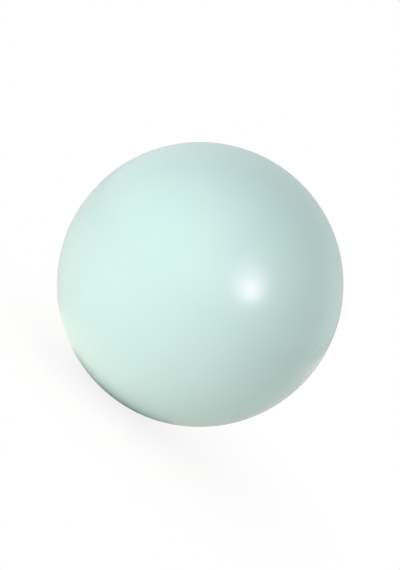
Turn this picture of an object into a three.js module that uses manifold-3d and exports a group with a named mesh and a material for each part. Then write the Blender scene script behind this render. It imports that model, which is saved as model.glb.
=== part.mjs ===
// Mini pilates ball: a blown-up soft PVC skin, the flanged valve insert that is fused inside it at its one
// hole, and the ribbed stopper plug that is pressed into the insert to keep the air in.
// Millimetres, +Z up. The origin is the middle of the flat patch that the ball rests on.
// The skin is turned about the upright axis through its patch, and the valve's pieces about the valve axis, which
// runs from the ball's centre along +Y.

import * as THREE from "three";
import { mergeVertices } from "three/addons/utils/BufferGeometryUtils.js";
import Module from "manifold-3d";

// Skin
const BALL_DIAMETER = 250; // blown up to its nominal size
const SKIN_WALL = 0.8;
const PATCH_DIAMETER = 30; // pressed flat on the floor by the ball's own weight
const PATCH_ROUND = 60; // soft bend from the patch into the ball

// Valve insert
const BORE_MOUTH_DIAMETER = 6.4; // the bore narrows inwards, so that the plug wedges in it
const BORE_TIP_DIAMETER = 5.2;
const BORE_LEAD_IN = 0.6; // chamfer that guides the plug in
const NECK_LENGTH = 18; // from the ball's surface to the inner end of the bore
const NECK_WALL = 1.8; // round the bore
const NECK_FILLET = 1.8; // where the neck leaves the flange
const COLLAR_WALL = 2.4; // ring round the plug's head, flush with the skin
const FLANGE_OVERLAP = 7; // how far the flange reaches under the skin
const FLANGE_WALL = 1.6; // beside the neck
const FLANGE_EDGE = 0.6; // at the thin outer rim

// Stopper plug
const HEAD_DIAMETER = 11;
const HEAD_THICKNESS = 1.8;
const HEAD_ROUND = 0.5;
const RIB_COUNT = 3;
const RIB_HEIGHT = 0.5;
const RIB_HALF_WIDTH = 0.9;
const NOSE_LENGTH = 2.6; // rounded end of the shank
const NOSE_REACH = 2; // how far the nose stands out of the bore's inner end

// Clearances
const BOND_GAP = 0.3; // weld line between the skin and the insert
const HEAD_GAP = 0.3; // round the plug's head and under it
const RIB_GAP = 0.15; // between a rib's crest and the bore

// Facets
const SKIN_SEGMENTS = 64;
const PATCH_ROUND_STEPS = 3;
const LOWER_STEPS = 14; // from the patch's bend to the ball's widest ring
const UPPER_STEPS = 16; // from there to the top
const VALVE_SEGMENTS = 32;
const VALVE_ARC_STEPS = 2;

const ballRadius = BALL_DIAMETER / 2;
const patchRadius = PATCH_DIAMETER / 2;
const centreHeight = PATCH_ROUND + heightOn(ballRadius - PATCH_ROUND, patchRadius);
const bendEnd = -angleOn(ballRadius - PATCH_ROUND, patchRadius); // where the bend runs into the ball

const boreMouthRadius = BORE_MOUTH_DIAMETER / 2;
const boreTipRadius = BORE_TIP_DIAMETER / 2;
const headRadius = HEAD_DIAMETER / 2;
const recessRadius = headRadius + HEAD_GAP;
const collarRadius = recessRadius + COLLAR_WALL;
const holeRadius = collarRadius + BOND_GAP;
const flangeRadius = holeRadius + FLANGE_OVERLAP;
const skinFlats = Math.cos(Math.PI / SKIN_SEGMENTS) * Math.cos(Math.PI / 4 / UPPER_STEPS);
const flangeTop = (ballRadius - SKIN_WALL) * skinFlats - BOND_GAP; // sphere that lies just under the skin

// Heights along the valve axis, from the ball's centre
const headUnderside = ballRadius - HEAD_THICKNESS;
const seatHeight = headUnderside - HEAD_GAP; // floor of the recess that takes the head
const neckTip = ballRadius - NECK_LENGTH;
const boreLength = seatHeight - neckTip;

// Height of a sphere about the ball's centre, at a distance from the valve axis
function heightOn(sphereRadius, distance) {
  return Math.sqrt(sphereRadius ** 2 - distance ** 2);
}

// Angle, in a profile, of the point on such a sphere at a distance from the valve axis
function angleOn(sphereRadius, distance) {
  return Math.acos(distance / sphereRadius);
}

function boreRadiusAt(height) {
  const share = (height - neckTip) / boreLength;
  return boreTipRadius + share * (boreMouthRadius - boreTipRadius);
}

function turned(profile, segments, arcSteps) {
  return new THREE.LatheGeometry(profile.getPoints(arcSteps), segments);
}

const wasm = await Module();
wasm.setup();

function toSolid(geometry) {
  geometry.deleteAttribute("normal");
  geometry.deleteAttribute("uv");
  const merged = mergeVertices(geometry);
  const vertProperties = merged.attributes.position.array;
  const triVerts = merged.index.array;
  return new wasm.Manifold(new wasm.Mesh({ numProp: 3, vertProperties, triVerts }));
}

function toGeometry(solid) {
  const { vertProperties, triVerts } = solid.getMesh();
  const geometry = new THREE.BufferGeometry();
  geometry.setAttribute("position", new THREE.BufferAttribute(vertProperties, 3));
  geometry.setIndex(new THREE.BufferAttribute(triVerts, 1));
  geometry.computeVertexNormals();
  return geometry;
}

function arc(x, y, radius, from, to, steps) {
  return new THREE.EllipseCurve(x, y, radius, radius, from, to).getPoints(steps);
}

// Half the ball's outline from the middle of its patch to its top, or the same moved inwards by an inset
function skinBody(inset) {
  const radius = ballRadius - inset;
  const profile = [
    new THREE.Vector2(0, inset),
    ...arc(patchRadius, PATCH_ROUND, PATCH_ROUND - inset, -Math.PI / 2, bendEnd, PATCH_ROUND_STEPS),
    ...arc(0, centreHeight, radius, bendEnd, 0, LOWER_STEPS).slice(1),
    ...arc(0, centreHeight, radius, 0, Math.PI / 2, UPPER_STEPS).slice(1),
  ];
  return toSolid(new THREE.LatheGeometry(profile, SKIN_SEGMENTS).rotateX(Math.PI / 2));
}

function skinGeometry() {
  const hole = new THREE.CylinderGeometry(holeRadius, holeRadius, ballRadius, VALVE_SEGMENTS);
  hole.translate(0, ballRadius, centreHeight);
  return toGeometry(skinBody(0).subtract(skinBody(SKIN_WALL)).subtract(toSolid(hole)));
}

// One closed profile: up the neck, out under the flange, in over it, up the collar and down the bore
function insertGeometry() {
  const neckTipRadius = boreTipRadius + NECK_WALL;
  const neckRootRadius = boreMouthRadius + NECK_WALL;
  const filletRadius = neckRootRadius + NECK_FILLET;
  const flangeUnder = heightOn(flangeTop - FLANGE_WALL, filletRadius);
  const flangeRim = heightOn(flangeTop, flangeRadius);
  const profile = new THREE.Path();
  profile.moveTo(boreTipRadius, neckTip);
  profile.lineTo(neckTipRadius, neckTip);
  profile.lineTo(neckRootRadius, flangeUnder - NECK_FILLET);
  profile.quadraticCurveTo(neckRootRadius, flangeUnder, filletRadius, flangeUnder);
  profile.lineTo(flangeRadius, flangeRim - FLANGE_EDGE);
  profile.absarc(0, 0, flangeTop, angleOn(flangeTop, flangeRadius), angleOn(flangeTop, collarRadius), false);
  profile.absarc(0, 0, ballRadius, angleOn(ballRadius, collarRadius), angleOn(ballRadius, recessRadius), false);
  profile.lineTo(recessRadius, seatHeight);
  profile.lineTo(boreMouthRadius + BORE_LEAD_IN, seatHeight);
  profile.lineTo(boreRadiusAt(seatHeight - BORE_LEAD_IN), seatHeight - BORE_LEAD_IN);
  profile.closePath();
  return turned(profile, VALVE_SEGMENTS, VALVE_ARC_STEPS);
}

// From the nose up the ribbed shank, round the head's edge and over its crown, which carries on the ball's curve
function plugGeometry() {
  const coreRadiusAt = (height) => boreRadiusAt(height) - RIB_GAP - RIB_HEIGHT;
  const noseTip = neckTip - NOSE_REACH;
  const noseRoot = noseTip + NOSE_LENGTH;
  const edgeRadius = headRadius - HEAD_ROUND;
  const edgeHeight = heightOn(ballRadius, headRadius);
  const profile = new THREE.Path();
  profile.absellipse(0, noseRoot, coreRadiusAt(noseRoot), NOSE_LENGTH, -Math.PI / 2, 0, false);
  for (let rib = 0; rib < RIB_COUNT; rib++) {
    const crest = neckTip + (boreLength * (rib + 0.5)) / RIB_COUNT;
    const foot = crest - RIB_HALF_WIDTH;
    const shoulder = crest + RIB_HALF_WIDTH;
    profile.lineTo(coreRadiusAt(foot), foot);
    profile.quadraticCurveTo(coreRadiusAt(crest) + 2 * RIB_HEIGHT, crest, coreRadiusAt(shoulder), shoulder);
  }
  profile.lineTo(coreRadiusAt(seatHeight), headUnderside);
  profile.lineTo(headRadius, headUnderside);
  profile.lineTo(headRadius, edgeHeight - HEAD_ROUND);
  profile.quadraticCurveTo(headRadius, edgeHeight, edgeRadius, heightOn(ballRadius, edgeRadius));
  profile.absarc(0, 0, ballRadius, angleOn(ballRadius, edgeRadius), Math.PI / 2, false);
  return turned(profile, VALVE_SEGMENTS, VALVE_ARC_STEPS);
}

const skinVinyl = new THREE.MeshStandardMaterial({ color: "#c6e6df", roughness: 0.36, metalness: 0 });
const insertVinyl = new THREE.MeshStandardMaterial({ color: "#bcdfd7", roughness: 0.5, metalness: 0 });
const plugPlastic = new THREE.MeshStandardMaterial({ color: "#f0f0ea", roughness: 0.42, metalness: 0 });

function piece(name, geometry, material) {
  const mesh = new THREE.Mesh(geometry, material);
  mesh.name = name;
  return mesh;
}

const valve = new THREE.Group();
valve.position.set(0, 0, centreHeight);
valve.add(piece("valve_insert", insertGeometry(), insertVinyl));
valve.add(piece("valve_plug", plugGeometry(), plugPlastic));

const ball = new THREE.Group();
ball.add(piece("ball_skin", skinGeometry(), skinVinyl));
ball.add(valve);

export default ball;
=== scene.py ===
import math

import bmesh
import bpy
from mathutils import Matrix, Vector, noise


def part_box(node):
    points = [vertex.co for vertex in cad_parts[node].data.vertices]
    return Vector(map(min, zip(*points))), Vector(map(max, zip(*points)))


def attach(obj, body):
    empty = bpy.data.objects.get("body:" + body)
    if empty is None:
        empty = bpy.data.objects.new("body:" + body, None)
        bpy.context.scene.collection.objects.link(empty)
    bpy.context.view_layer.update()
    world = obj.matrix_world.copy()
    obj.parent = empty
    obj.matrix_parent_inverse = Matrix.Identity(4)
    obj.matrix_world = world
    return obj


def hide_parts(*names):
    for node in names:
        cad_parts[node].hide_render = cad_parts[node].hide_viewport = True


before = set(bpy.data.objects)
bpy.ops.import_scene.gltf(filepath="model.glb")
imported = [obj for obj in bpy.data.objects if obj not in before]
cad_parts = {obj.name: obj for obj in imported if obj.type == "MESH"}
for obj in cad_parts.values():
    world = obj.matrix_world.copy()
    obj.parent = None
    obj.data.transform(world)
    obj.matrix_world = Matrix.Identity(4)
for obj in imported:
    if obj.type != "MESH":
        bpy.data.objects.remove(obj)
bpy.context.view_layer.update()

mm = 0.001
skinLow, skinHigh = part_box("ball_skin")
insertLow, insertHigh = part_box("valve_insert")
plugLow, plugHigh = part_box("valve_plug")
ballRadius = (skinHigh.x - skinLow.x) / 2
centreHeight = skinHigh.z - ballRadius
ballCentre = Vector((0, 0, centreHeight))
print("frame: ball of %.0f mm, middle %.1f mm above the floor" % (2 * ballRadius / mm, centreHeight / mm))


# Camera: low in front of the ball, with the picture turned against the upright
cameraLook = {
    "elevation": 9.5,  # degrees that it looks down
    "pictureTurn": 37.0,  # degrees clockwise
    "distance": 1.3,  # m from the ball's middle
    "imageSize": (400, 570),  # px
    "ballMiddle": (200.15, 284.43),  # px from the picture's upper left corner
    "ballRadius": 142.95,  # px
    "sensorHeight": 36.0,  # mm
}
lookDown = math.radians(cameraLook["elevation"])
pictureTurn = math.radians(cameraLook["pictureTurn"])
toCamera = Vector((0, -math.cos(lookDown), math.sin(lookDown)))
levelRight = Vector((1, 0, 0))
levelUp = toCamera.cross(levelRight)
pictureRight = levelRight * math.cos(pictureTurn) + levelUp * math.sin(pictureTurn)
pictureUp = levelUp * math.cos(pictureTurn) - levelRight * math.sin(pictureTurn)
ballSightHalf = math.asin(ballRadius / cameraLook["distance"])  # half the angle that the ball fills
focalPixels = cameraLook["ballRadius"] / math.tan(ballSightHalf)


def makeCamera():
    width, height = cameraLook["imageSize"]
    data = bpy.data.cameras.new("camera")
    data.sensor_fit = "VERTICAL"
    data.sensor_height = cameraLook["sensorHeight"]
    data.lens = focalPixels * cameraLook["sensorHeight"] / height
    data.shift_x = (width / 2 - cameraLook["ballMiddle"][0]) / height
    data.shift_y = (cameraLook["ballMiddle"][1] - height / 2) / height
    camera = bpy.data.objects.new("camera", data)
    bpy.context.scene.collection.objects.link(camera)
    turn = Matrix((pictureRight, pictureUp, toCamera)).transposed()
    camera.matrix_world = Matrix.Translation(ballCentre + toCamera * cameraLook["distance"]) @ turn.to_4x4()
    bpy.context.scene.camera = camera


# Point of the ball that a pixel of the picture shows
def pointAtPixel(pixel):
    across = (pixel[0] - cameraLook["ballMiddle"][0]) / focalPixels
    down = (pixel[1] - cameraLook["ballMiddle"][1]) / focalPixels
    ray = (pictureRight * across - pictureUp * down - toCamera).normalized()
    start = toCamera * cameraLook["distance"]
    along = -ray.dot(start)
    reach = along - math.sqrt(along ** 2 - start.length_squared + ballRadius ** 2)
    return ballCentre + start + ray * reach


makeCamera()
print("camera: %(elevation).1f degrees down, picture turned %(pictureTurn).0f degrees" % cameraLook)


# Node tools for the finishes
def newMaterial(name):
    material = bpy.data.materials.new(name)
    material.use_nodes = True
    tree = material.node_tree
    tree.nodes.clear()
    return material, tree


def addNode(tree, kind, **settings):
    node = tree.nodes.new("ShaderNode" + kind)
    for key, value in settings.items():
        setattr(node, key, value)
    return node


def join(tree, source, target):
    tree.links.new(source, target)


def addMath(tree, operation, *values):
    node = addNode(tree, "Math", operation=operation)
    for socket, value in zip(node.inputs, values):
        if isinstance(value, (int, float)):
            socket.default_value = value
        else:
            join(tree, value, socket)
    return node.outputs[0]


# Spreads a value over low to high. Noise mostly lies between 0.3 and 0.7.
def addRange(tree, value, low, high, fromLow=0.3, fromHigh=0.7, kind="LINEAR"):
    spread = addNode(tree, "MapRange", interpolation_type=kind)
    spread.inputs["From Min"].default_value = fromLow
    spread.inputs["From Max"].default_value = fromHigh
    spread.inputs["To Min"].default_value = low
    spread.inputs["To Max"].default_value = high
    join(tree, value, spread.inputs["Value"])
    return spread.outputs["Result"]


def addNoise(tree, coords, scale, detail):
    texture = addNode(tree, "TexNoise")
    texture.inputs["Scale"].default_value = scale
    texture.inputs["Detail"].default_value = detail
    join(tree, coords, texture.inputs["Vector"])
    return texture.outputs["Fac"]


def addMix(tree, share, first, second):
    mix = addNode(tree, "Mix", data_type="RGBA")
    join(tree, share, mix.inputs["Factor"])
    for socket, colour in ((mix.inputs["A"], first), (mix.inputs["B"], second)):
        if isinstance(colour, tuple):
            socket.default_value = (*colour, 1)
        else:
            join(tree, colour, socket)
    return mix.outputs["Result"]


def addBump(tree, height, distance, strength, after=None):
    bump = addNode(tree, "Bump")
    bump.inputs["Strength"].default_value = strength
    bump.inputs["Distance"].default_value = distance
    join(tree, height, bump.inputs["Height"])
    if after is not None:
        join(tree, after, bump.inputs["Normal"])
    return bump.outputs["Normal"]


# Studio: a pale floor, a white surround, broad soft light and a few lamps
studio = {
    "floorRadius": 6.0,  # m
    "floorSegments": 96,
    "floorSink": 0.05 * mm,  # below the ball, so that no faces lie in one plane
    "floorColour": (0.95, 0.88, 0.84),
    "floorShown": (0.84, 1.0),  # share of plain white that the camera sees, at the foot and far off
    "floorShownReach": (0.2, 2.2),  # ball radii from the foot
    # Painted light: a glowing ring on the paper round the foot, in ball radii
    "paintedLightReach": (0.46, 0.52, 0.60, 1.10),  # starts, is full, starts to fade, ends
    "paintedLightSide": (-0.25, 0.35),  # full up to this x on the left, dimmest from this x on the right
    "paintedLightRight": 0.30,  # share that is left on the right
    "paintedLightTint": (1.0, 0.76, 0.74),
    "paintedLightInGloss": 0.62,  # its strength in the ball's gloss
    "paintedLightOnBody": 0.42,  # its strength on the ball's body: painted light that stands in for light the thin skin lets through
    "ambient": 0.50,  # the surround's strength on the body
    # Glows of the surround: degrees right of the camera, degrees up, sharpness, strength (below 0 dulls)
    "softLights": {
        "front": (350, 8, 8, 0.54),
        "leftTop": (320, 35, 5, 0.215),
        "farWall": (174, 9, 9, -0.33),
    },
    # Lamps round the ball: degrees right of the camera, degrees up, m away, m wide, watts
    "glossLamps": {  # only show in gloss
        "key": (36.0, 26.2, 1.2, 0.27, 2.2),
        "keyGlow": (33.5, 30, 1.2, 0.66, 4.4),
    },
    "glossTint": (1.0, 0.62, 0.80),
    "bodyLamps": {  # only light the body
        "lowLeft": (330, -4, 1.2, 0.15, 4.1),
        "backFill": (200, 28, 1.4, 1.00, 4.45),
        "rightFill": (132, 20, 1.4, 1.00, 4.9),
    },
    # Lamps above the paper beside the ball: place, m wide, watts
    "paperLamps": {
        "paperLeft": ((-0.42, -0.08, 0.5), 0.5, 0.44),
        "paperFront": ((-0.05, -0.40, 0.5), 0.5, 0.52),
    },
    "paperSpread": 80,  # degrees of their beams
}


def towards(right, up):
    across, rise = math.radians(right), math.radians(up)
    return Vector((math.sin(across) * math.cos(rise), -math.cos(across) * math.cos(rise), math.sin(rise)))


# Paper that takes the ball's shadow. The camera sees it as nearly plain white. A ring of painted light
# glows on it round the foot, brighter on the left: it lights the ball's body and shows in the ball's gloss,
# but the camera doesn't see it.
def floorMaterial():
    material, tree = newMaterial("floorPaper")
    coords = addNode(tree, "TexCoord").outputs["Object"]
    fromFoot = addNode(tree, "VectorMath", operation="LENGTH")
    join(tree, coords, fromFoot.inputs[0])
    reach = addMath(tree, "DIVIDE", fromFoot.outputs["Value"], ballRadius)
    split = addNode(tree, "SeparateXYZ")
    join(tree, coords, split.inputs[0])
    side = addMath(tree, "DIVIDE", split.outputs["X"], ballRadius)
    path = addNode(tree, "LightPath")
    glossy = addMath(tree, "MAXIMUM", path.outputs["Is Glossy Ray"], path.outputs["Is Transmission Ray"])
    begin, full, fade, gone = studio["paintedLightReach"]
    # Painted light: a glowing ring round the foot, dark inside, brighter on the left, seen only by diffuse
    # and glossy rays
    ring = addRange(tree, side, 1, studio["paintedLightRight"], *studio["paintedLightSide"], "SMOOTHSTEP")
    ring = addMath(tree, "MULTIPLY", ring, addRange(tree, reach, 0, 1, begin, full, "SMOOTHSTEP"))
    ring = addMath(tree, "MULTIPLY", ring, addRange(tree, reach, 1, 0, fade, gone, "SMOOTHSTEP"))
    strength = addMath(tree, "MULTIPLY", path.outputs["Is Diffuse Ray"], studio["paintedLightOnBody"])
    strength = addMath(tree, "MULTIPLY_ADD", glossy, studio["paintedLightInGloss"], strength)
    glow = addNode(tree, "Emission")
    glow.inputs["Color"].default_value = (*studio["paintedLightTint"], 1)
    join(tree, addMath(tree, "MULTIPLY", ring, strength), glow.inputs["Strength"])
    paper = addNode(tree, "BsdfDiffuse")
    paper.inputs["Color"].default_value = (*studio["floorColour"], 1)
    lit = addNode(tree, "AddShader")
    join(tree, paper.outputs[0], lit.inputs[0])
    join(tree, glow.outputs[0], lit.inputs[1])
    shown = addRange(tree, reach, *studio["floorShown"], *studio["floorShownReach"], "SMOOTHSTEP")
    mix = addNode(tree, "MixShader")
    join(tree, addMath(tree, "MULTIPLY", shown, path.outputs["Is Camera Ray"]), mix.inputs["Fac"])
    join(tree, lit.outputs[0], mix.inputs[1])
    join(tree, addNode(tree, "Emission").outputs[0], mix.inputs[2])
    join(tree, mix.outputs[0], addNode(tree, "OutputMaterial").inputs["Surface"])
    return material


def makeFloor():
    mesh = bpy.data.meshes.new("floor")
    shape = bmesh.new()
    segments, radius = studio["floorSegments"], studio["floorRadius"]
    bmesh.ops.create_circle(shape, cap_ends=True, segments=segments, radius=radius)
    shape.to_mesh(mesh)
    shape.free()
    floor = bpy.data.objects.new("floor", mesh)
    floor.location.z = -studio["floorSink"]
    bpy.context.scene.collection.objects.link(floor)
    mesh.materials.append(floorMaterial())


# Camera and gloss see white, the body gets the ambient; the soft lights are added for all but the camera
def makeWorld():
    world = bpy.data.worlds.new("surround")
    bpy.context.scene.world = world
    world.use_nodes = True
    tree = world.node_tree
    tree.nodes.clear()
    path = addNode(tree, "LightPath")
    camera = path.outputs["Is Camera Ray"]
    seen = addMath(tree, "MAXIMUM", path.outputs["Is Glossy Ray"], path.outputs["Is Transmission Ray"])
    seen = addMath(tree, "MAXIMUM", seen, camera)
    direction = addNode(tree, "TexCoord").outputs["Generated"]
    light = addRange(tree, seen, studio["ambient"], 1, 0, 1)
    unseen = addMath(tree, "SUBTRACT", 1.0, camera)
    for right, up, sharpness, strength in studio["softLights"].values():
        facing = addNode(tree, "VectorMath", operation="DOT_PRODUCT")
        join(tree, direction, facing.inputs[0])
        facing.inputs[1].default_value = towards(right, up)
        glow = addMath(tree, "POWER", addMath(tree, "MAXIMUM", facing.outputs["Value"], 0.0), sharpness)
        light = addMath(tree, "MULTIPLY_ADD", addMath(tree, "MULTIPLY", glow, strength), unseen, light)
    shade = addNode(tree, "Background")
    shade.inputs["Color"].default_value = (1, 1, 1, 1)
    join(tree, light, shade.inputs["Strength"])
    join(tree, shade.outputs[0], addNode(tree, "OutputWorld").inputs["Surface"])


def makeLamp(name, place, facing, size, watts, inGloss=False):
    data = bpy.data.lights.new(name, "AREA")
    data.shape = "DISK"
    data.size = size
    data.energy = watts
    if inGloss:
        data.color = studio["glossTint"]
    lamp = bpy.data.objects.new(name, data)
    lamp.location = place
    lamp.rotation_euler = facing.to_track_quat("Z", "Y").to_euler()
    lamp.visible_camera = False
    lamp.visible_diffuse = not inGloss
    lamp.visible_glossy = inGloss
    bpy.context.scene.collection.objects.link(lamp)
    return lamp


def makeLamps():
    for group, inGloss in (("glossLamps", True), ("bodyLamps", False)):
        for name, (right, up, away, size, watts) in studio[group].items():
            facing = towards(right, up)
            makeLamp(name, ballCentre + facing * away, facing, size, watts, inGloss)
    for name, (place, size, watts) in studio["paperLamps"].items():
        lamp = makeLamp(name, Vector(place), Vector((0, 0, 1)), size, watts)
        lamp.data.spread = math.radians(studio["paperSpread"])


makeFloor()
makeWorld()
makeLamps()
bpy.context.scene.view_settings.view_transform = "Standard"
lampCount = sum(len(studio[group]) for group in ("glossLamps", "bodyLamps", "paperLamps"))
print("studio: floor, surround, %d soft lights and %d lamps" % (len(studio["softLights"]), lampCount))


# Shared shape tools
def softStep(low, high, value):
    share = min(max((value - low) / (high - low), 0), 1)
    return share * share * (3 - 2 * share)


def onSphere(radius, fromAxis):
    return math.sqrt(radius ** 2 - fromAxis ** 2)


def meshObject(name, shape, material):
    bmesh.ops.recalc_face_normals(shape, faces=shape.faces)
    mesh = bpy.data.meshes.new(name)
    shape.to_mesh(mesh)
    shape.free()
    mesh.shade_smooth()
    mesh.materials.append(material)
    piece = bpy.data.objects.new(name, mesh)
    bpy.context.scene.collection.objects.link(piece)
    return piece


def bridgeLoops(shape, first, second):
    count = len(first)
    for k in range(count):
        after = (k + 1) % count
        shape.faces.new((first[k], first[after], second[after], second[k]))


# Corners with rounds become one smooth outline: each corner is (distance from axis, height, round)
def roundedOutline(corners, closed, steps=6):
    points = []
    count = len(corners)
    for k, (x, y, bend) in enumerate(corners):
        here = Vector((x, y))
        ends = not closed and k in (0, count - 1)
        if ends or bend == 0:
            points.append(here)
            continue
        before = (Vector(corners[k - 1][:2]) - here).normalized()
        after = (Vector(corners[(k + 1) % count][:2]) - here).normalized()
        half = before.angle(after) / 2
        cut = bend / math.tan(half)
        middle = here + (before + after).normalized() * (bend / math.sin(half))
        start = here + before * cut - middle
        end = here + after * cut - middle
        sweep = start.angle_signed(end)
        for step in range(steps + 1):
            points.append(middle + Matrix.Rotation(-sweep * step / steps, 2) @ start)
    return points


# Turns an outline about the valve's axis, which runs along +Y through the ball's middle
def turnOutline(points, segments, closed):
    shape = bmesh.new()
    onAxis = 1e-7  # m, closer points become one
    loops = []
    for x, y in points:
        if x < onAxis:
            loops.append([shape.verts.new(ballCentre + Vector((0, y, 0)))])
            continue
        loop = []
        for k in range(segments):
            turn = 2 * math.pi * k / segments
            loop.append(shape.verts.new(ballCentre + Vector((x * math.cos(turn), y, x * math.sin(turn)))))
        loops.append(loop)
    pairs = list(zip(loops, loops[1:]))
    if closed:
        pairs.append((loops[-1], loops[0]))
    for first, second in pairs:
        if len(first) == 1 or len(second) == 1:
            tip, ring = (first[0], second) if len(first) == 1 else (second[0], first)
            for k in range(segments):
                shape.faces.new((tip, ring[k], ring[(k + 1) % segments]))
        else:
            bridgeLoops(shape, first, second)
    return shape


# Moulded plastic: faint clouds of colour, uneven gloss, shallow waves of the mould and a fine grain
mouldedSurface = {
    "ior": 1.5,
    "glossClouds": 4,  # times as fine as the clouds of colour
    "peelWidth": 9,  # waves are this many times as wide as the grain
    "peel": (0.05 * mm, 0.16),  # height and strength
    "grain": (0.02 * mm, 0.25),
}


def mouldedPlastic(name, finish):
    material, tree = newMaterial(name)
    coords = addNode(tree, "TexCoord").outputs["Object"]
    cloudScale, grainScale = finish["cloudScale"], finish["grainScale"]
    cloud = addRange(tree, addNoise(tree, coords, cloudScale, detail=3), 0, 1)
    colour = addMix(tree, cloud, finish["deepColour"], finish["lightColour"])
    shader = addNode(tree, "BsdfPrincipled")
    coatShare, coatRoughness = finish["coat"]
    shader.inputs["IOR"].default_value = mouldedSurface["ior"]
    shader.inputs["Specular IOR Level"].default_value = finish["gloss"]
    shader.inputs["Coat Weight"].default_value = coatShare
    shader.inputs["Coat Roughness"].default_value = coatRoughness
    join(tree, colour, shader.inputs["Base Color"])
    glossCloud = addNoise(tree, coords, cloudScale * mouldedSurface["glossClouds"], detail=4)
    join(tree, addRange(tree, glossCloud, *finish["roughness"]), shader.inputs["Roughness"])
    peelNoise = addNoise(tree, coords, grainScale / mouldedSurface["peelWidth"], detail=2)
    peel = addBump(tree, peelNoise, *mouldedSurface["peel"])
    grainNoise = addNoise(tree, coords, grainScale, detail=2)
    grain = addBump(tree, grainNoise, *mouldedSurface["grain"], peel)
    join(tree, grain, shader.inputs["Normal"])
    join(tree, shader.outputs[0], addNode(tree, "OutputMaterial").inputs["Surface"])
    return material, tree, shader, coords, colour


# Ball skin: one blown shell of mint vinyl, flat where it stands, open at the valve
ballSkin = {
    "wall": 0.8 * mm,
    "patchRadius": 15 * mm,  # pressed flat on the floor
    "patchRound": 60 * mm,  # bend from the patch into the ball
    "outOfRound": 0.0033,  # wider across the picture than up it, as a share of the radius
    "swells": ((3.2, 0.10 * mm), (7.0, 0.035 * mm)),  # closeness and height
    "swellFromFoot": 3,  # times the angle of the patch's bend, full from there
    "swellFromValve": (0.15, 0.45),  # radians, none before and full after
    "flangeLift": 0.32 * mm,  # skin stands proud where the valve's flange lies under it
    "flangeOverlap": 7 * mm,
    "flangeFade": (-0.9 * mm, 1.5 * mm),  # from the flange's edge
    "lipRound": 0.35 * mm,  # at the valve hole
    "lipSteps": 4,
    "innerLipRound": 0.15 * mm,
    "innerLipSteps": 2,
    "gridSteps": 24,  # squares from the middle of the front grid to its edge
    "gridAngle": 148,  # degrees from the valve where that grid starts
    "lipRingGap": 0.5 * mm,  # between the rings at the lip
    "ringGrowth": 1.12,  # each gap to the one before
    "lastGap": 1.5,  # the last one may be this many times as wide
    "ringGap": 2.8 * mm,  # widest
    "innerRingGap": 7 * mm,
    "lightColour": (0.546, 0.757, 0.727),
    "deepColour": (0.532, 0.743, 0.713),
    "roughness": (0.31, 0.35),
    "gloss": 0.28,
    "coat": (0.4, 0.2),  # share and roughness of the smooth outermost layer
    "cloudScale": 11,
    "grainScale": 1500,
    "markColour": (0.36, 0.50, 0.47),
    "speckPixel": (316, 345),
    "speckLength": 0.1 * mm,
    "speckRadius": (0.39 * mm, 1.3 * mm),  # full up to the first, gone at the second
    "speckShare": 0.95,
    "hairPixels": ((225, 171), (235, 160)),
    "hairRadius": (0.1 * mm, 0.5 * mm),
    "hairShare": 0.22,
}
flangeRadius = insertHigh.x
holeRadius = flangeRadius - ballSkin["flangeOverlap"]
bendStart = math.atan2(ballSkin["patchRadius"], centreHeight)
bendEnd = math.atan2(ballSkin["patchRadius"], centreHeight - ballSkin["patchRound"])


# From the ball's middle to its outline, at an angle from straight down
def outlineAt(fromFoot):
    if fromFoot < bendStart:
        return centreHeight / math.cos(fromFoot)
    if fromFoot > bendEnd:
        return ballRadius
    across, below = ballSkin["patchRadius"], centreHeight - ballSkin["patchRound"]
    along = across * math.sin(fromFoot) + below * math.cos(fromFoot)
    return along + math.sqrt(along ** 2 - across ** 2 - below ** 2 + ballSkin["patchRound"] ** 2)


def skinRadius(direction):
    fromFoot = math.acos(max(-1, min(1, -direction.z)))
    fromValve = math.acos(max(-1, min(1, direction.y)))
    free = softStep(bendEnd, ballSkin["swellFromFoot"] * bendEnd, fromFoot)
    free *= softStep(*ballSkin["swellFromValve"], fromValve)
    wide, tall = direction.dot(pictureRight), direction.dot(pictureUp)
    uneven = ballSkin["outOfRound"] * ballRadius * (wide ** 2 - tall ** 2)
    for closeness, height in ballSkin["swells"]:
        uneven += height * noise.noise(direction * closeness)
    pastFlange = ballRadius * math.sin(min(fromValve, math.pi / 2)) - flangeRadius
    lift = ballSkin["flangeLift"] * (1 - softStep(*ballSkin["flangeFade"], pastFlange))
    return outlineAt(fromFoot) + free * uneven + lift


def skinPoint(fromValve, turn, inset):
    side = math.sin(fromValve)
    direction = Vector((side * math.cos(turn), math.cos(fromValve), side * math.sin(turn)))
    return ballCentre + direction * (skinRadius(direction) - inset)


# Closes a ring of 8 x steps corners with a grid of squares
def closeWithGrid(shape, ring, steps, startAngle, inset):
    corners = {}

    def corner(i, j):
        if (i, j) not in corners:
            reach = max(abs(i), abs(j))
            if reach == 0:
                turn = 0
            elif i == reach:
                turn = math.pi / 4 * j / reach
            elif j == reach:
                turn = math.pi / 2 - math.pi / 4 * i / reach
            elif i == -reach:
                turn = math.pi - math.pi / 4 * j / reach
            else:
                turn = 3 * math.pi / 2 + math.pi / 4 * i / reach
            if reach == steps:
                corners[i, j] = ring[round(turn / (2 * math.pi) * len(ring)) % len(ring)]
            else:
                angle = math.pi - (math.pi - startAngle) * reach / steps
                corners[i, j] = shape.verts.new(skinPoint(angle, turn, inset))
        return corners[i, j]

    for i in range(-steps, steps):
        for j in range(-steps, steps):
            shape.faces.new((corner(i, j), corner(i + 1, j), corner(i + 1, j + 1), corner(i, j + 1)))


# Angles from the valve of the rings between the lip and the front grid, close together near the lip
def ringAngles(lip, gridAngle, widestGap):
    angles = [lip]
    gap = ballSkin["lipRingGap"]
    while angles[-1] + ballSkin["lastGap"] * gap / ballRadius < gridAngle:
        angles.append(angles[-1] + gap / ballRadius)
        gap = min(widestGap, gap * ballSkin["ringGrowth"])
    return angles + [gridAngle]


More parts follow.
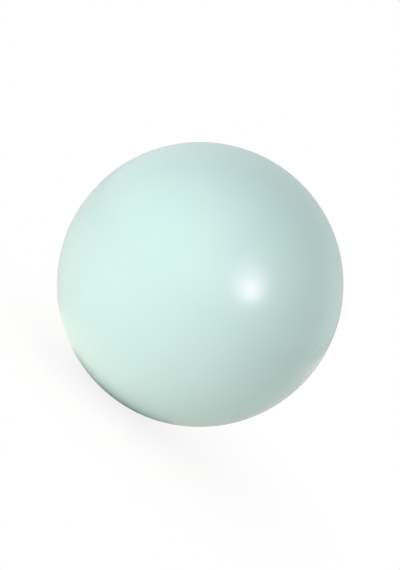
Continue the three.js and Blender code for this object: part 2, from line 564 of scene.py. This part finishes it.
def makeSkin(material):
    wall, lip, innerLip = ballSkin["wall"], ballSkin["lipRound"], ballSkin["innerLipRound"]
    lipSteps, innerLipSteps = ballSkin["lipSteps"], ballSkin["innerLipSteps"]
    gridSteps, gridAngle = ballSkin["gridSteps"], math.radians(ballSkin["gridAngle"])
    loops = []  # angle from the valve and depth under the surface: front grid to lip, then back inside
    outerLip = math.asin((holeRadius + lip) / ballRadius)
    for angle in reversed(ringAngles(outerLip, gridAngle, ballSkin["ringGap"])):
        loops.append((angle, 0))
    for step in range(1, lipSteps + 1):
        bend = math.pi / 2 * step / lipSteps
        out = holeRadius + lip * (1 - math.sin(bend))
        loops.append((math.asin(out / ballRadius), lip * (1 - math.cos(bend))))
    for step in range(innerLipSteps + 1):
        bend = math.pi / 2 * step / innerLipSteps
        out = holeRadius + innerLip * (1 - math.cos(bend))
        loops.append((math.asin(out / ballRadius), wall - innerLip * (1 - math.sin(bend))))
    innerStart = math.asin((holeRadius + 2 * innerLip) / ballRadius)
    for angle in ringAngles(innerStart, gridAngle, ballSkin["innerRingGap"]):
        loops.append((angle, wall))
    shape = bmesh.new()
    segments = 8 * gridSteps
    turns = [2 * math.pi * k / segments for k in range(segments)]
    rings = []
    for angle, inset in loops:
        rings.append([shape.verts.new(skinPoint(angle, turn, inset)) for turn in turns])
    for first, second in zip(rings, rings[1:]):
        bridgeLoops(shape, first, second)
    closeWithGrid(shape, rings[0], gridSteps, gridAngle, 0)
    closeWithGrid(shape, rings[-1], gridSteps, gridAngle, wall)
    piece = meshObject("ball_skin_vinyl", shape, material)
    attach(piece, "ball")
    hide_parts("ball_skin")


# Distance of each point from a short line on the surface
def nearLine(tree, coords, start, end):
    along = (end - start).normalized()
    fromStart = addNode(tree, "VectorMath", operation="SUBTRACT")
    join(tree, coords, fromStart.inputs[0])
    fromStart.inputs[1].default_value = start
    reach = addNode(tree, "VectorMath", operation="DOT_PRODUCT")
    join(tree, fromStart.outputs["Vector"], reach.inputs[0])
    reach.inputs[1].default_value = along
    kept = addNode(tree, "Clamp")
    join(tree, reach.outputs["Value"], kept.inputs["Value"])
    kept.inputs["Max"].default_value = (end - start).length
    foot = addNode(tree, "VectorMath", operation="SCALE")
    foot.inputs[0].default_value = along
    join(tree, kept.outputs["Result"], foot.inputs["Scale"])
    gap = addNode(tree, "VectorMath", operation="DISTANCE")
    join(tree, fromStart.outputs["Vector"], gap.inputs[0])
    join(tree, foot.outputs["Vector"], gap.inputs[1])
    return gap.outputs["Value"]


# Tints the colour along a short line on the surface
def addMark(tree, coords, colour, start, end, radius, share):
    mark = addRange(tree, nearLine(tree, coords, start, end), share, 0, *radius)
    return addMix(tree, mark, colour, ballSkin["markColour"])


# The skin's plastic, with a speck and a hair mark in its colour
def skinMaterial():
    skin = ballSkin
    material, tree, shader, coords, colour = mouldedPlastic("mintVinyl", skin)
    speckStart = pointAtPixel(skin["speckPixel"])
    speckEnd = speckStart + Vector((0, 0, skin["speckLength"]))
    colour = addMark(tree, coords, colour, speckStart, speckEnd, skin["speckRadius"], skin["speckShare"])
    hairStart, hairEnd = [pointAtPixel(pixel) for pixel in skin["hairPixels"]]
    colour = addMark(tree, coords, colour, hairStart, hairEnd, skin["hairRadius"], skin["hairShare"])
    join(tree, colour, shader.inputs["Base Color"])
    return material


makeSkin(skinMaterial())
print("skin: shell with valve lip and standing patch")


# Valve insert: flange under the skin, collar flush with it, and a neck with a tapered bore
valveInsert = {
    "boreMouth": 3.2 * mm,  # radius at the seat
    "boreTip": 2.6 * mm,  # radius at the inner end
    "recess": 5.8 * mm,  # radius, takes the stopper's head
    "collarWall": 2.4 * mm,
    "neckWall": 1.8 * mm,
    "neckFillet": 1.8 * mm,
    "leadIn": 0.6 * mm,
    "flangeWall": 1.6 * mm,
    "flangeEdge": 0.6 * mm,
    "flangeBend": 4 * mm,  # round in the middle of its upper face, which follows the skin
    "weldGap": 0.55 * mm,  # from the skin's inside to the flange
    "seatDepth": 2.1 * mm,  # recess floor below the ball's surface
    "edgeRound": 0.3 * mm,  # the edges have shares of it
    "segments": 128,
    "lightColour": (0.50, 0.725, 0.67),
    "deepColour": (0.465, 0.69, 0.635),
    "roughness": (0.42, 0.5),
    "gloss": 0.4,
    "coat": (0.1, 0.3),
    "cloudScale": 160,
    "grainScale": 2600,
}
boreTipHeight = insertLow.y
seatHeight = ballRadius - valveInsert["seatDepth"]
boreTaper = (valveInsert["boreMouth"] - valveInsert["boreTip"]) / (seatHeight - boreTipHeight)


def makeInsert(material):
    bush, edge = valveInsert, valveInsert["edgeRound"]
    collar = bush["recess"] + bush["collarWall"]
    flangeTop = ballRadius - ballSkin["wall"] - bush["weldGap"]  # sphere just under the skin
    flangeMiddle = (flangeRadius + collar) / 2
    rim = onSphere(flangeTop, flangeRadius)
    root = bush["boreMouth"] + bush["neckWall"]
    under = onSphere(flangeTop - bush["flangeWall"], root + bush["neckFillet"])
    corners = [
        (bush["boreTip"], boreTipHeight, edge),
        (bush["boreTip"] + bush["neckWall"], boreTipHeight, edge * 2),
        (root, under, bush["neckFillet"]),
        (flangeRadius, rim - bush["flangeEdge"], edge * 0.6),
        (flangeRadius, rim, edge * 0.8),
        (flangeMiddle, onSphere(flangeTop, flangeMiddle), bush["flangeBend"]),
        (collar, onSphere(flangeTop, collar), edge * 0.5),
        (collar, onSphere(ballRadius, collar), edge),
        (bush["recess"], onSphere(ballRadius, bush["recess"]), edge * 1.4),
        (bush["recess"], seatHeight, edge),
        (bush["boreMouth"] + bush["leadIn"], seatHeight, edge * 0.6),
        (bush["boreMouth"] - boreTaper * bush["leadIn"], seatHeight - bush["leadIn"], edge * 0.6),
    ]
    shape = turnOutline(roundedOutline(corners, True), bush["segments"], True)
    piece = meshObject("valve_insert_bush", shape, material)
    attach(piece, "ball")
    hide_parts("valve_insert")


makeInsert(mouldedPlastic("valveVinyl", valveInsert)[0])
print("valve: bush with flange, seat and bore")


# Stopper: domed head, tapered shank with round ribs, round nose
valvePlug = {
    "headThickness": 1.8 * mm,
    "headRound": 0.5 * mm,
    "headUnderRound": 0.25 * mm,
    "headCrown": 0.55,  # share of the head's radius where the dome's plain part starts
    "shankFillet": 0.4 * mm,  # under the head
    "shankTop": 1.2 * mm,  # plain part below the seat
    "ribs": 3,
    "ribHeight": 0.5 * mm,
    "ribHalfWidth": 0.9 * mm,
    "ribGap": 0.15 * mm,  # to the bore
    "ribSteps": 8,
    "noseLength": 2.6 * mm,
    "noseSteps": 12,
    "gateRadius": 1.485 * mm,  # shallow dimple where the plastic was fed in
    "gateFloor": 0.45,  # share of its radius that is flat
    "gateDepth": 0.16 * mm,
    "gateReach": 1.76 * mm,  # close rings from here to the middle
    "gateSteps": 10,
    "segments": 112,
    "lightColour": (0.86, 0.86, 0.82),
    "deepColour": (0.82, 0.82, 0.775),
    "roughness": (0.36, 0.45),
    "gloss": 0.5,
    "coat": (0.15, 0.3),
    "cloudScale": 220,
    "grainScale": 3200,
}


# Radius of the shank between its ribs
def shankAt(height):
    boreRadius = valveInsert["boreTip"] + boreTaper * (height - boreTipHeight)
    return boreRadius - valvePlug["ribGap"] - valvePlug["ribHeight"]


def makePlug(material):
    plug = valvePlug
    noseRoot = plugLow.y + plug["noseLength"]
    points = []
    for step in range(plug["noseSteps"] + 1):
        turn = math.pi / 2 * step / plug["noseSteps"]
        points.append((shankAt(noseRoot) * math.sin(turn), noseRoot - plug["noseLength"] * math.cos(turn)))
    for rib in range(plug["ribs"]):
        crest = boreTipHeight + (seatHeight - boreTipHeight) * (rib + 0.5) / plug["ribs"]
        for step in range(-plug["ribSteps"], plug["ribSteps"] + 1):
            share = step / plug["ribSteps"]
            height = crest + share * plug["ribHalfWidth"]
            points.append((shankAt(height) + plug["ribHeight"] * (1 - share ** 2), height))
    headUnder = ballRadius - plug["headThickness"]
    headRadius = plugHigh.x
    crown = headRadius * plug["headCrown"]
    corners = [
        (shankAt(seatHeight), seatHeight - plug["shankTop"], 0),
        (shankAt(seatHeight), headUnder, plug["shankFillet"]),
        (headRadius, headUnder, plug["headUnderRound"]),
        (headRadius, onSphere(ballRadius, headRadius), plug["headRound"]),
        (crown, onSphere(ballRadius, crown), 0),
    ]
    points += [tuple(point) for point in roundedOutline(corners, False)]
    for step in range(plug["gateSteps"], -1, -1):
        out = plug["gateReach"] * step / plug["gateSteps"]
        dip = plug["gateDepth"] * (1 - softStep(plug["gateFloor"], 1, out / plug["gateRadius"]))
        points.append((out, onSphere(ballRadius, out) - dip))
    piece = meshObject("valve_plug_stopper", turnOutline(points, plug["segments"], False), material)
    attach(piece, "plug")
    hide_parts("valve_plug")


makePlug(mouldedPlastic("stopperPlastic", valvePlug)[0])
print("stopper: head, %d ribs and nose" % valvePlug["ribs"])
